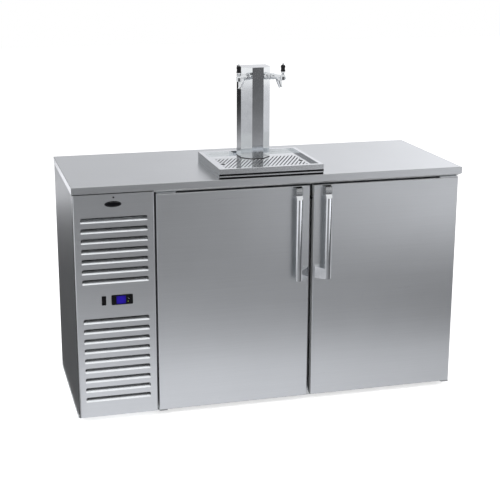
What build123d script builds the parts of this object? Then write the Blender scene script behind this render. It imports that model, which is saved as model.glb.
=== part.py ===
"""Two-door direct-draw beer cooler (kegerator) with a two-faucet column tower.

Frame: millimetres, +Z up, the fronts of the doors face -Y, +X runs to the right
seen from the front.  The origin is on the floor, under the middle of the worktop.
Each node is one piece of the product; identical hinge parts share a node.
"""
from build123d import *
from math import cos, pi, radians, sin, tan
import os

# ------------------------------------------------------------------ overall
worktop_length = 1524.0
worktop_depth = 609.6
worktop_height = 914.4
worktop_face = 26.3          # height of the worktop's vertical edge
worktop_sheet = 1.5
return_depth = 14.0          # slanted return under the worktop's edge
return_drop = 9.5
body_inset = 2.0             # side and rear skins stand in from the worktop's ends
skin = 1.2                   # outer steel sheet
wall = 42.0                  # foamed wall between outer skin and inner liner
liner_gauge = 1.0
seat_gap = 0.3               # narrow gap between pieces that seat on each other

# ------------------------------------------------------------------ doors and their frame
door_gap = 16.6              # between the two doors
door_end_gap = 14.7          # right door's edge in from the worktop's end
door_bay_gap = 7.0           # left door's edge to the machine bay
door_bottom = 23.0
door_top_gap = 13.9          # worktop's lower edge down to the door's top
door_shell = 28.0            # depth of the steel outer pan
door_liner_depth = 14.0      # plastic inner liner behind it
liner_inset = 1.5
liner_dish = 8.0             # raised middle of the inner liner
gasket_depth = 12.0
gasket_width = 18.0
gasket_inset = 14.0
frame_depth = 15.0           # face frame behind the gaskets
mullion_width = 56.0
mullion_depth = 40.0
hinge_edge = 12.0            # hinge axis in from the door's outer edge
hinge_set = 12.0             # hinge axis back from the door's front
hinge_pin_r = 4.0
hinge_pin_length = 12.0
hinge_fit = 0.06             # radial running clearance of the hinge pins
hinge_plate = 3.4
hinge_leg = 9.0
hinge_top_width = 74.0
hinge_front_gap = 0.6        # plates stop this far behind the doors' front
hinge_bottom_width = 32.0
hinge_play = 0.5             # plate to door

# ------------------------------------------------------------------ handles
handle_offset = 58.0         # bar's middle from the middle of the door gap
handle_width = 24.0
handle_bar = 14.0            # bar's thickness
handle_bulge = 4.5           # rounding of the bar's front
handle_reach = 40.0          # bar's front from the door
handle_top_drop = 2.0        # foot's top below the door's top
handle_length = 362.0
handle_shoulder = 45.0       # bar's top below the foot's top
handle_cap = 14.0            # height and depth of the slanted cap on the bar
handle_neck = 25.0           # neck's front from the door
handle_crown = 5.0           # rounding over the top of the neck
handle_hollow = 2.0          # neck's front dips in this much
handle_foot = 8.0
handle_foot_height = 36.0
handle_foot_width = 40.0
handle_wing_height = 38.0
handle_wing_rise = 9.0       # wing's top edge climbs towards the door's edge
handle_edge_gap = 5.0        # lower foot to the door's edge

# ------------------------------------------------------------------ grille panel and controls
grille_width = 300.0
grille_proud = 7.2           # in front of the doors
grille_bottom = 26.0
grille_top_gap = 2.0
grille_sheet = 1.6
grille_corner = 6.0
grille_return = 22.0
louvre_width = 246.0
louvre_height = 19.0
louvre_pitch = 38.7
louvre_corner = 7.0
louvre_slope = 42.0          # blade's angle above the horizontal
louvre_blade = 18.0          # blade's length
louvre_proud = 1.2           # blade's lip in front of the panel
upper_louvres = 7
lower_louvres = 9
upper_louvre_drop = 85.6     # first slot's top below the panel's top
lower_louvre_rise = 390.0    # first slot's top above the panel's bottom
badge_length = 62.0
badge_height = 22.0
badge_thickness = 2.0
badge_drop = 37.5            # badge's middle below the panel's top edge
screw_drop = 12.5
screw_r = 3.2
control_rise = 1.4           # controls' middle above the middle between the two groups
switch_x = 104.5             # from the panel's left edge
switch_width = 16.0
switch_height = 35.0
rocker_width = 10.6
rocker_radius = 14.6
rocker_tilt = 11.0           # degrees, half of its swing
rocker_pin_r = 1.2
rocker_pin_fit = 0.05
rocker_side_gap = 0.4
controller_x = 172.5
controller_width = 80.0
controller_height = 38.0
controller_proud = 3.0
controller_corner = 4.0
controller_lip = 2.4         # bezel's overlap on the panel round its cut-out
display_width = 35.0
display_height = 31.0
display_shift = -4.1         # display's middle from the controller's middle
button_travel = 1.2
button_fit = 0.3
well_depth = 20.0            # controls' housings behind the panel

# ------------------------------------------------------------------ drip tray
tray_x = -10.0               # middle of the tray
tray_width = 406.4
tray_depth = 355.0
tray_setback = 5.0           # from the worktop's front edge
tray_height = 39.0
tray_seal_height = 7.0
tray_seal_inset = 1.2
tray_seal_width = 14.0
tray_foot_edge = 4.5         # steel edge between seal and groove
tray_groove_height = 4.2
tray_groove_depth = 3.0
tray_skirt = 3.0             # sides and back reach the worktop round the seal
tray_seam = 0.8              # fine seam that carries the groove's line round the sides
tray_rim = 15.0
tray_ledge = 7.0
tray_floor = 1.6
tray_collar = 3.0            # wall round the passage of the beer lines
plate_drop = 10.4            # grate's top below the rim's top
plate_thickness = 3.0
grate_back = 241.0           # grate's length from the tray's inside front
slot_pitch = 15.4
slot_width = 6.4
slot_lean = 27.0             # degrees from front-to-back
slot_margin = 24.0           # plain border at the grate's ends and front
slot_back_margin = 12.0
finger_hole_r = 9.5
finger_hole_x = 155.0
finger_hole_y = 122.0        # from the tray's inside front
drain_r = 9.0
drain_wall = 2.0
drain_x = 95.0
drain_y = 75.0               # from the tray's inside front
drain_tail = 105.0

# ------------------------------------------------------------------ tower and faucets
tower_x = -8.0
tower_width = 116.0
tower_depth = 103.0
tower_chamfer = 35.6
tower_sheet = 2.0
tower_height = 384.0         # above the worktop
tower_setback = 213.5        # tower's front from the worktop's front edge
tower_cap_depth = 12.0
gasket_sheet = 2.4
gasket_edge = 0.8            # seal stands this far round the column
line_hole_r = 38.0
faucet_height = 350.0        # faucet's axis above the worktop
faucet_shift = 8.0           # axis towards the front edge of the slanted face
faucet_reach = 74.5          # lever's axis from the tower's face
shank_r = 7.0
shank_flange_r = 14.0
shank_flange = 11.0
shank_tail = 26.0
shank_bore_r = 3.2
nut_start = 14.0
nut_length = 12.0
nut_r = 12.6
nut_lobes = 8
body_collar_r = 12.2
body_neck_r = 8.6
valve_r = 11.0
valve_drop = 12.0
valve_rise = 5.0
spout_r = 8.2
spout_drop = 42.0
spout_lean = 17.0            # degrees
spout_back = 21.5            # spout's root in from the lever's axis
ball_r = 6.0
pivot_rise = 10.0            # lever's pivot above the faucet's axis
ball_fit = 0.3
lever_rod_r = 3.0
knob_start = 21.0
knob_length = 25.0
knob_r = 9.5
finial_length = 8.0
finial_r = 3.6
line_r = 4.8
line_bend = 14.0
line_tail = 70.0             # below the cooler's ceiling

# ------------------------------------------------------------------ refrigeration
base_height = 22.0
base_rail = 40.0
unit_sheet = 3.0
unit_flange = 12.0
coil_width = 262.0
coil_height = 270.0
coil_depth = 44.0
coil_setback = 34.0          # coil's front behind the grille's front
coil_tube_r = 5.0
coil_row_count = 6
fan_r = 104.0
fan_tip_gap = 3.5
fan_hub_r = 26.0
fan_hub_length = 24.0
fan_blade_count = 5
fan_chord = 50.0
fan_pitch = 28.0             # degrees
fan_stand_off = 18.0         # fan's middle behind the coil
shroud_depth = 26.0
shroud_sheet = 2.0
motor_r = 38.0
motor_length = 52.0
motor_arm = 7.0
shaft_r = 4.0
shaft_fit = 0.06
compressor_r = 82.0
compressor_height = 178.0
compressor_y = 120.0
compressor_foot = 14.0
evaporator_depth = 96.0
evaporator_length = 380.0
evaporator_height = 300.0
evaporator_drop = 14.0       # below the ceiling
evaporator_y = 20.0
evaporator_sheet = 2.0
evaporator_fan_r = 84.0
evaporator_fan_out = 68.0    # fan's middle from the divider's liner
evaporator_motor_r = 30.0
evaporator_motor_length = 40.0
evaporator_bridge = 6.0
gland_r = 12.0
gland_height = 120.0

# ------------------------------------------------------------------ derived places
front = -worktop_depth / 2
back = worktop_depth / 2
left = -worktop_length / 2
right = worktop_length / 2
under_top = worktop_height - worktop_sheet
edge_bottom = worktop_height - worktop_face
body_left = left + body_inset
body_right = right - body_inset
body_back = back - body_inset
door_depth = door_shell + door_liner_depth
frame_front = front + door_depth + gasket_depth
frame_back = frame_front + frame_depth
door_top = edge_bottom - door_top_gap
bay_right = left + 1.0 + grille_width          # right side of the machine bay
door_span = (right - door_end_gap) - (bay_right + door_bay_gap)
door_width = (door_span - door_gap) / 2
door_split = bay_right + door_bay_gap + door_span / 2
cavity_left = bay_right + wall
cavity_right = body_right - skin - wall
cavity_bottom = base_height + wall
cavity_top = door_top - gasket_inset - gasket_width
cavity_back = body_back - skin - wall
grille_front = front - grille_proud
grille_left = left + 1.0
grille_top = edge_bottom - grille_top_gap
upper_louvre_top = grille_top - upper_louvre_drop
upper_louvre_end = upper_louvre_top - louvre_height - (upper_louvres - 1) * louvre_pitch
lower_louvre_top = grille_bottom + lower_louvre_rise
control_height = (upper_louvre_end + lower_louvre_top) / 2 + control_rise
tray_front = front + tray_setback
tray_back = tray_front + tray_depth
tray_left = tray_x - tray_width / 2
tray_right = tray_x + tray_width / 2
tray_top = worktop_height + tray_height
plate_top = tray_top - plate_drop
ledge_top = plate_top - plate_thickness - seat_gap
tray_inside = tray_front + tray_rim
grate_end = tray_inside + grate_back
tower_front = front + tower_setback
tower_y = tower_front + tower_depth / 2
tower_top = worktop_height + tower_height
tower_foot = plate_top + gasket_sheet
coil_front = grille_front + coil_setback
coil_back = coil_front + coil_depth
bay_middle = (body_left + skin + bay_right) / 2
unit_floor = base_height + unit_sheet
coil_bottom = unit_floor + 30.0
fan_z = coil_bottom + coil_height / 2
fan_y = coil_back + fan_stand_off


# ------------------------------------------------------------------ helpers
def block(x0, x1, y0, y1, z0, z1):
    """Box between two corners."""
    return Pos((x0 + x1) / 2, (y0 + y1) / 2, (z0 + z1) / 2) * Box(x1 - x0, y1 - y0, z1 - z0)


def plan(points, z0, z1):
    """Prism over a plan outline (X, Y)."""
    return extrude(Plane.XY.offset(z0) * Polygon(*points, align=None), z1 - z0, dir=(0, 0, 1))


def side_profile(points, x0, x1):
    """Prism along X from a side outline (Y, Z)."""
    return extrude(Plane.YZ.offset(x0) * Polygon(*points, align=None), x1 - x0, dir=(1, 0, 0))


def turned(points):
    """Revolve an outline of (radius, height) about Z."""
    return revolve(Plane.XZ * Polygon(*points, align=None), axis=Axis.Z)


def rod_z(x, y, z0, z1, r):
    return Pos(x, y, (z0 + z1) / 2) * Cylinder(r, z1 - z0)


def rod_y(x, z, y0, y1, r):
    return Pos(x, (y0 + y1) / 2, z) * Rot(90, 0, 0) * Cylinder(r, y1 - y0)


def rod_x(y, z, x0, x1, r):
    return Pos((x0 + x1) / 2, y, z) * Rot(0, 90, 0) * Cylinder(r, x1 - x0)


def rounded_plate(x, z, width, height, corner, y0, y1):
    """Upright plate in the XZ plane with rounded corners, centred on (x, z)."""
    sketch = RectangleRounded(width, height, corner)
    return extrude(Plane.XZ.offset(-y1) * Pos(x, z) * sketch, amount=y1 - y0)


# ------------------------------------------------------------------ carcass
def base_frame():
    """Box-section ring on the floor with a cross rail under the divider."""
    x0, x1 = body_left + skin, body_right - skin
    y0, y1 = frame_front, body_back - skin
    ring = block(x0, x1, y0, y1, 0, base_height)
    ring -= block(x0 + base_rail, bay_right, y0 + base_rail, y1 - base_rail, -1, base_height + 1)
    ring -= block(bay_right + base_rail, x1 - base_rail, y0 + base_rail, y1 - base_rail,
                  -1, base_height + 1)
    return ring


def left_side_panel():
    """Outer skin of the machine bay, notched at the toe, with a flange behind the grille."""
    y0 = grille_front + grille_return + seat_gap
    sheet = block(body_left, body_left + skin, y0, body_back - skin, 0, under_top)
    sheet -= block(body_left - 1, body_left + skin + 1, y0 - 1, frame_front, -1, grille_bottom)
    flange = block(body_left + skin, body_left + skin + 14.0, y0, y0 + skin,
                   grille_bottom + 4.0, grille_top - 4.0)
    return sheet + flange


def right_side_panel():
    return block(body_right - skin, body_right, frame_front, body_back - skin, 0, under_top)


def rear_panel():
    """Back skin with the hole for the supply cord's gland."""
    sheet = block(body_left, body_right, body_back - skin, body_back, 0, under_top)
    return sheet - rod_y(bay_middle, gland_height, body_back - skin - 1, body_back + 1, gland_r)


def insulated_floor():
    return block(bay_right, body_right - skin, frame_back, body_back - skin,
                 base_height, cavity_bottom)


def insulated_ceiling():
    """Foamed roof with the passage for the beer lines and the drain."""
    roof = block(bay_right, body_right - skin, frame_back, body_back - skin, cavity_top, under_top)
    roof -= rod_z(tower_x, tower_y, cavity_top - 1, under_top + 1, line_hole_r)
    return roof - rod_z(*drain_place(), cavity_top - 1, under_top + 1, drain_r + 1.0)


def insulated_back():
    return block(cavity_left, cavity_right, cavity_back, body_back - skin,
                 cavity_bottom, cavity_top)


def insulated_right_wall():
    return block(cavity_right, body_right - skin, frame_back, body_back - skin,
                 cavity_bottom, cavity_top)


def insulated_divider():
    return block(bay_right, cavity_left, frame_back, body_back - skin, cavity_bottom, cavity_top)


def inner_liner():
    """Open-fronted sheet box that lines the cold space."""
    g = liner_gauge
    box = block(cavity_left, cavity_right, frame_back, cavity_back, cavity_bottom, cavity_top)
    box -= block(cavity_left + g, cavity_right - g, frame_back - 1, cavity_back - g,
                 cavity_bottom + g, cavity_top - g)
    box -= rod_z(tower_x, tower_y, cavity_top - g - 1, cavity_top + 1, line_hole_r)
    return box - rod_z(*drain_place(), cavity_top - g - 1, cavity_top + 1, drain_r + 1.0)


def door_frame():
    """Face frame that the gaskets close on."""
    ring = block(bay_right, body_right - skin, frame_front, frame_back, base_height, under_top)
    return ring - block(cavity_left + liner_gauge, cavity_right - liner_gauge, frame_front - 1,
                        frame_back + 1, cavity_bottom + liner_gauge, cavity_top - liner_gauge)


def centre_mullion():
    """Post between the doorways, from the frame's sill to its header."""
    half = mullion_width / 2
    post = block(door_split - half, door_split + half, frame_front, frame_front + mullion_depth,
                 cavity_bottom + liner_gauge, cavity_top - liner_gauge)
    return fillet(post.edges().filter_by(Axis.Z).group_by(Axis.Y)[-1], 6.0)


def worktop():
    """Folded steel top: flat deck, upright edges and a slanted return over the doors."""
    s = worktop_sheet
    top = block(left, right, front, back, edge_bottom, worktop_height)
    top = fillet(top.edges().group_by(Axis.Z)[-1], 2.0)
    top -= block(left + s, right - s, front + s, back - s, edge_bottom - 1, under_top)
    top -= rod_z(tower_x, tower_y, under_top - 1, worktop_height + 1, line_hole_r)
    top -= rod_z(*drain_place(), under_top - 1, worktop_height + 1, drain_r + 1.0)
    return top + worktop_return()


def worktop_return():
    """Band that slopes inwards and down along the front and the right end."""
    def frustum(inset, z_top, z_bottom):
        grow = return_depth * (edge_bottom - z_bottom) / return_drop
        upper = Rectangle(worktop_length - 2 * inset, worktop_depth - 2 * inset)
        lower = Rectangle(worktop_length - 2 * inset - 2 * grow,
                          worktop_depth - 2 * inset - 2 * grow)
        return loft([Plane.XY.offset(z_bottom) * lower, Plane.XY.offset(z_top) * upper])

    low = edge_bottom - return_drop
    band = frustum(0, edge_bottom, low) - frustum(worktop_sheet, edge_bottom, low)
    keep = block(bay_right + 1.0, right, front, frame_front, low - 1, edge_bottom)
    return band & keep


# ------------------------------------------------------------------ doors
def door_edges(side):
    """Left and right X of the door on this side (-1 left, +1 right)."""
    near = door_split + side * door_gap / 2
    far = near + side * door_width
    return min(near, far), max(near, far)


def hinge_axis(side):
    """X and Y of a door's vertical hinge axis."""
    edges = door_edges(side)
    return (edges[0] + hinge_edge if side < 0 else edges[1] - hinge_edge), front + hinge_set


def door_panel(side):
    """Foamed steel pan with a rounded front and a socket at each end of the hinge axis."""
    x0, x1 = door_edges(side)
    pan = block(x0, x1, front, front + door_shell, door_bottom, door_top)
    pan = fillet(pan.edges().group_by(Axis.Y)[0], 3.0)
    x, y = hinge_axis(side)
    depth = hinge_pin_length + hinge_play + 1.0
    for z0, z1 in ((door_top - depth, door_top + 1), (door_bottom - 1, door_bottom + depth)):
        pan -= rod_z(x, y, z0, z1, hinge_pin_r + hinge_fit)
    return pan


def door_liner(side):
    """Moulded inner liner: flat border for the gasket and a raised, bevelled middle."""
    x0, x1 = door_edges(side)
    y0 = front + door_shell
    y1 = front + door_depth
    i = liner_inset
    plate = block(x0 + i, x1 - i, y0, y1, door_bottom + i, door_top - i)
    d = gasket_inset + gasket_width + 3.0
    width = x1 - x0 - 2 * d
    height = door_top - door_bottom - 2 * d
    at = Pos((x0 + x1) / 2, (door_bottom + door_top) / 2)
    base = Plane.XZ.offset(-y1) * at * Rectangle(width, height)
    crown = Plane.XZ.offset(-y1 - liner_dish) * at * Rectangle(width - 12.0, height - 12.0)
    return plate + loft([base, crown])


def door_gasket(side):
    """Bellows ring on the liner's border, closing on the face frame."""
    x0, x1 = door_edges(side)
    i, w = gasket_inset, gasket_width
    y0, y1 = front + door_depth, frame_front - seat_gap
    ring = block(x0 + i, x1 - i, y0, y1, door_bottom + i, door_top - i)
    ring -= block(x0 + i + w, x1 - i - w, y0 - 1, y1 + 1, door_bottom + i + w, door_top - i - w)
    neck = (y0 + y1) / 2
    groove = block(x0, x1, neck - 1.5, neck + 1.5, door_bottom, door_top)
    groove -= block(x0 + i + 4.0, x1 - i - 4.0, y0, y1, door_bottom + i + 4.0, door_top - i - 4.0)
    return ring - groove


def handle_bar_plan(x):
    """Bar seen from above: flat back and sides with a bulged front."""
    half = handle_width / 2
    out = front - handle_reach
    edge = Polyline((x - half, out + handle_bulge), (x - half, front), (x + half, front),
                    (x + half, out + handle_bulge))
    bulge = ThreePointArc((x + half, out + handle_bulge), (x, out), (x - half, out + handle_bulge))
    return make_face(edge + bulge)


def handle_side_view(x, top, bottom):
    """Handle seen from the side, as wide as the bar: foot, hollowed neck, slanted cap and bar."""
    out = front - handle_reach
    inner = out + handle_bar
    shoulder = top - handle_shoulder
    r = handle_crown
    cap = (out + handle_cap, shoulder + handle_cap)
    neck = (front - handle_neck, top - r)
    crown = (front - handle_neck + r, top)
    outline = Polyline(cap, (out, shoulder), (out, bottom), (inner, bottom),
                       (inner, shoulder - 12.0), (front, top - handle_foot_height), (front, top),
                       crown)
    rounding = RadiusArc(crown, neck, -r)
    hollow = SagittaArc(neck, cap, -handle_hollow)
    face = make_face(Plane.YZ.offset(x - handle_width / 2) * (outline + rounding + hollow))
    return extrude(face, handle_width, dir=(1, 0, 0))


def handle_wing(side, x, bottom):
    """Lower foot: a wing from the bar to the door's edge whose top climbs outwards."""
    out = front - handle_reach
    inner = out + handle_bar
    half = handle_width / 2
    near = door_split + side * (door_gap / 2 + handle_edge_gap)
    high = bottom + handle_wing_height + handle_wing_rise
    wing = plan([(x - side * half, out + handle_bulge), (x, out + 0.5),
                 (x + side * half, out + handle_bulge), (x + side * half, inner),
                 (x - side * 2.0, inner), (near + side * 22.0, front), (near, front),
                 (near, front - 9.0)], bottom, high)
    reach = abs(near - x)
    slope = handle_wing_rise / reach
    start = x + side * half
    far = near - side * half
    cut = [(start, high - handle_wing_rise - slope * half), (far, high + slope * half),
           (far, high + 20.0), (start, high + 20.0)]
    above = extrude(Plane.XZ.offset(-front) * Polygon(*cut, align=None), 2 * handle_reach,
                    dir=(0, -1, 0))
    return wing - above


def door_handle(side):
    """Cast bow handle of a door."""
    x = door_split + side * handle_offset
    top = door_top - handle_top_drop
    bottom = top - handle_length
    column = extrude(handle_bar_plan(x), handle_length, dir=(0, 0, 1))
    bow = handle_side_view(x, top, bottom) & Pos(0, 0, bottom) * column
    half = handle_foot_width / 2
    foot = block(x - half, x + half, front - handle_foot, front, top - handle_foot_height, top)
    foot = fillet(foot.edges().filter_by(Axis.Y), 6.0)
    return bow + foot + handle_wing(side, x, bottom)


def upper_hinges():
    """Top hinge plates of both doors, each with its pin pointing down."""
    plates = Part()
    z0 = door_top + hinge_play
    for side in (-1, 1):
        x, y = hinge_axis(side)
        outer = x + side * (hinge_edge - 2.0)
        inner = outer - side * hinge_top_width
        x0, x1 = min(outer, inner), max(outer, inner)
        plate = block(x0, x1, front + hinge_front_gap, frame_front, z0, z0 + hinge_plate)
        plate += block(x0, x1, frame_front - hinge_plate, frame_front, z0, z0 + hinge_leg)
        plates += plate + rod_z(x, y, door_top - hinge_pin_length, z0, hinge_pin_r)
    return plates


def lower_hinges():
    """Bottom hinge brackets of both doors, each with its pin pointing up."""
    plates = Part()
    z1 = door_bottom - hinge_play
    for side in (-1, 1):
        x, y = hinge_axis(side)
        outer = x + side * hinge_edge
        inner = outer - side * hinge_bottom_width
        x0, x1 = min(outer, inner), max(outer, inner)
        plate = block(x0, x1, front + hinge_front_gap, frame_front, z1 - hinge_plate, z1)
        plate += block(x0, x1, frame_front - hinge_plate, frame_front, z1 - 2 * hinge_leg, z1)
        plates += plate + rod_z(x, y, z1, door_bottom + hinge_pin_length, hinge_pin_r)
    return plates


# ------------------------------------------------------------------ grille panel and controls
def louvre_levels():
    """Lower edge of every louvre, from the top down."""
    upper = [upper_louvre_top - louvre_height - i * louvre_pitch for i in range(upper_louvres)]
    lower = [lower_louvre_top - louvre_height - i * louvre_pitch for i in range(lower_louvres)]
    return upper + lower


def louvre_opening(level):
    """Slot through the sheet with rounded upper corners."""
    x = grille_left + grille_width / 2
    slot = block(x - louvre_width / 2, x + louvre_width / 2, grille_front - 1,
                 grille_front + grille_sheet + 1, level, level + louvre_height)
    return fillet(slot.edges().filter_by(Axis.Y).group_by(Axis.Z)[-1], louvre_corner)


def louvre_blade_solid(level):
    """Blade that starts proud of the panel and slopes up into the bay."""
    a = radians(louvre_slope)
    t = grille_sheet
    y0 = grille_front - louvre_proud
    run, rise = louvre_blade * cos(a), louvre_blade * sin(a)
    x = grille_left + grille_width / 2
    outline = [(y0, level - t), (y0, level), (y0 + run, level + rise),
               (y0 + run + t * sin(a), level + rise - t * cos(a)),
               (grille_front + grille_sheet, level - t)]
    return side_profile(outline, x - louvre_width / 2, x + louvre_width / 2)


def grille_panel():
    """Removable front cover of the machine bay, with folded returns and formed louvres."""
    x0, x1 = grille_left, grille_left + grille_width
    y0, y1 = grille_front, grille_front + grille_return
    s = grille_sheet
    cover = block(x0, x1, y0, y1, grille_bottom, grille_top)
    cover = fillet(cover.edges().filter_by(Axis.Z).group_by(Axis.Y)[0], grille_corner)
    cover -= block(x0 + s, x1 - s, y0 + s, y1 + 1, grille_bottom + s, grille_top - s)
    cover += block(x1 - s, x1, y1, frame_front, grille_bottom, grille_top)
    for level in louvre_levels():
        cover -= louvre_opening(level)
    for level in louvre_levels():
        cover += louvre_blade_solid(level)
    z = control_height
    xs, xc = grille_left + switch_x, grille_left + controller_x
    cover -= rounded_plate(xs, z, switch_width - 3.0, switch_height - 3.0, 1.0, y0 - 1, y0 + s + 1)
    cover -= rounded_plate(xc, z, controller_width - 2 * controller_lip,
                           controller_height - 2 * controller_lip, 2.0, y0 - 1, y0 + s + 1)
    return cover - rod_y(grille_left + grille_width / 2, grille_top - screw_drop,
                         y0 - 1, y0 + s + 1, screw_r - 1.0)


def oval_badge():
    """Plain domed oval plate."""
    sketch = Ellipse(badge_length / 2, badge_height / 2)
    place = Plane.XZ.offset(-grille_front) * Pos(grille_left + grille_width / 2 - 2.5,
                                                 grille_top - badge_drop)
    plate = extrude(place * sketch, amount=badge_thickness)
    return fillet(plate.edges().group_by(Axis.Y)[0], 0.8)


def grille_screw():
    """Pan-head screw that holds the cover."""
    x, z = grille_left + grille_width / 2, grille_top - screw_drop
    head = rod_y(x, z, grille_front - 2.0, grille_front, screw_r)
    head = fillet(head.edges().group_by(Axis.Y)[0], 1.2)
    return head + rod_y(x, z, grille_front, grille_front + 12.0, screw_r - 1.2)


def switch_bezel():
    """Frame of the mains switch with the well that its rocker tips in."""
    x, z = grille_left + switch_x, control_height
    y0 = grille_front
    bezel = rounded_plate(x, z, switch_width, switch_height, 2.0, y0 - 1.8, y0)
    bezel += rounded_plate(x, z, switch_width - 3.4, switch_height - 3.4, 0.8, y0, y0 + well_depth)
    half = rocker_width / 2 + rocker_side_gap
    reach = rocker_radius + rocker_side_gap
    bezel -= block(x - half, x + half, y0 - 3, y0 + well_depth - 2.0, z - reach, z + reach)
    y, z = rocker_pivot()
    half += 0.4
    return bezel - rod_x(y, z, x - half, x + half, rocker_pin_r + rocker_pin_fit)


def rocker_pivot():
    """Y and Z of the rocker's pivot."""
    return grille_front + 4.0, control_height


def power_rocker():
    """Rocker with its upper half pressed in; its ends lie on one circle about the pivot."""
    x = grille_left + switch_x
    y, z = rocker_pivot()
    r = rocker_radius
    reach, rise = r * sin(radians(26.0)), r * cos(radians(26.0))
    outline = [(y - reach, z - rise), (y - 5.0, z), (y - reach, z + rise),
               (y + 3.0, z + r * 0.95), (y + 8.0, z + 6.0), (y + 8.0, z - 6.0),
               (y + 3.0, z - r * 0.95)]
    half = rocker_width / 2
    body = side_profile(outline, x - half, x + half)
    half += rocker_side_gap + 0.3
    body += rod_x(y, z, x - half, x + half, rocker_pin_r)
    return body.rotate(Axis((x, y, z), (1, 0, 0)), -rocker_tilt)


def button_places():
    """Name, X, Z, width and height of each key of the controller."""
    x, z = grille_left + controller_x, control_height
    return [("set_button", x - 29.5, z, 9.0, 15.0),
            ("up_button", x + 29.0, z + 9.0, 13.0, 9.0),
            ("down_button", x + 29.0, z - 7.0, 13.0, 9.0)]


def controller_bezel():
    """Front of the temperature controller with windows for its display and keys."""
    x, z = grille_left + controller_x, control_height
    y0 = grille_front
    bezel = rounded_plate(x, z, controller_width, controller_height, controller_corner,
                          y0 - controller_proud, y0)
    bezel = fillet(bezel.edges().group_by(Axis.Y)[0], 1.0)
    case_lip = controller_lip + seat_gap
    bezel += rounded_plate(x, z, controller_width - 2 * case_lip, controller_height - 2 * case_lip,
                           1.8, y0, y0 + well_depth)
    bezel -= rounded_plate(x + display_shift, z, display_width, display_height, 1.5,
                           y0 - controller_proud - 1, y0 - controller_proud + 1.5)
    for _, bx, bz, w, h in button_places():
        bezel -= rounded_plate(bx, bz, w + 2 * button_fit, h + 2 * button_fit, 1.5,
                               y0 - controller_proud - 1, y0 + button_travel)
    return bezel


def display_window():
    y = grille_front - controller_proud + 1.5
    return rounded_plate(grille_left + controller_x + display_shift, control_height,
                         display_width - 0.4, display_height - 0.4, 1.3, y - 1.2, y)


def controller_buttons():
    """Keys that travel into the bezel."""
    keys = {}
    y0 = grille_front - controller_proud - 0.8
    for name, x, z, w, h in button_places():
        key = rounded_plate(x, z, w, h, 1.4, y0, grille_front - seat_gap)
        keys[name] = fillet(key.edges().group_by(Axis.Y)[0], 0.5)
    return keys


# ------------------------------------------------------------------ machine bay
def unit_tray():
    """Slide-out plate that carries the condensing unit, with upturned sides."""
    x0, x1 = body_left + skin + 4.0, bay_right - 6.0
    y0, y1 = grille_front + grille_return + 4.0, body_back - skin - 6.0
    plate = block(x0, x1, y0, y1, base_height, unit_floor)
    for x in (x0, x1 - unit_sheet):
        plate += block(x, x + unit_sheet, y0, y1, unit_floor, unit_floor + unit_flange)
    return plate


def condenser_coil():
    """Finned block between two end plates, with its return bends, on two legs."""
    x0, x1 = bay_middle - coil_width / 2, bay_middle + coil_width / 2
    z0, z1 = coil_bottom, coil_bottom + coil_height
    inset = 12.0
    coil = block(x0 + inset, x1 - inset, coil_front, coil_back, z0, z1)
    grooves = 18
    for i in range(grooves):
        x = x0 + inset + (i + 0.5) * (coil_width - 2 * inset) / grooves
        coil -= block(x - 2.5, x + 2.5, coil_front - 1, coil_front + 6.0, z0 + 6.0, z1 - 6.0)
    for x in (x0 + inset - 2.0, x1 - inset):
        coil += block(x, x + 2.0, coil_front - 3.0, coil_back, unit_floor, z1 + 4.0)
    pitch = coil_height / coil_row_count
    for i in range(coil_row_count):
        z = z0 + (i + 0.5) * pitch
        y = (coil_front + coil_back) / 2
        for x, turn in ((x0 + inset - 2.0, -90), (x1 - inset + 2.0, 90)):
            bend = Pos(x, y, z) * Rot(0, turn, 0) * Rot(0, 0, 0) * return_bend(pitch / 4)
            coil += bend
    return coil


def return_bend(r):
    """Half ring of tube standing on the XY plane, its ends r either side of the middle."""
    ring = Torus(r, coil_tube_r)
    half = Rot(0, 90, 0) * ring
    return half & Pos(0, 0, r + coil_tube_r) * Box(60, 60, 2 * (r + coil_tube_r))


def fan_shroud():
    """Plate behind the coil with a ring round the fan."""
    half = coil_width / 2 - 12.0
    plate = block(bay_middle - half, bay_middle + half, coil_back, coil_back + shroud_sheet,
                  coil_bottom, coil_bottom + coil_height)
    ring_r = fan_r + fan_tip_gap
    ring = rod_y(bay_middle, fan_z, coil_back, coil_back + shroud_depth, ring_r + shroud_sheet)
    return (plate + ring) - rod_y(bay_middle, fan_z, coil_back - 1,
                                  coil_back + shroud_depth + 1, ring_r)


def fan_rotor(radius, hub_r, hub_length, bore_r):
    """Hub and pitched blades about Z, centred on the origin."""
    rotor = Cylinder(hub_r, hub_length)
    rotor = fillet(rotor.edges().group_by(Axis.Z)[-1], 5.0)
    root = hub_r - 4.0
    blade = Box(radius + 6.0 - root, fan_chord, 1.8)
    blade = fillet(blade.edges().filter_by(Axis.Z).group_by(Axis.X)[-1], 10.0)
    blade = Pos((radius + 6.0 + root) / 2, 0, 0) * Rot(fan_pitch, 0, 0) * blade
    for i in range(fan_blade_count):
        rotor += Rot(0, 0, i * 360.0 / fan_blade_count) * blade
    disc = Cylinder(radius, 4 * hub_length)
    return (rotor & disc) - Pos(0, 0, -hub_length / 2) * Cylinder(bore_r, hub_length)


def condenser_fan():
    rotor = fan_rotor(fan_r, fan_hub_r, fan_hub_length, shaft_r + shaft_fit)
    return Pos(bay_middle, fan_y, fan_z) * Rot(90, 0, 0) * rotor


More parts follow.
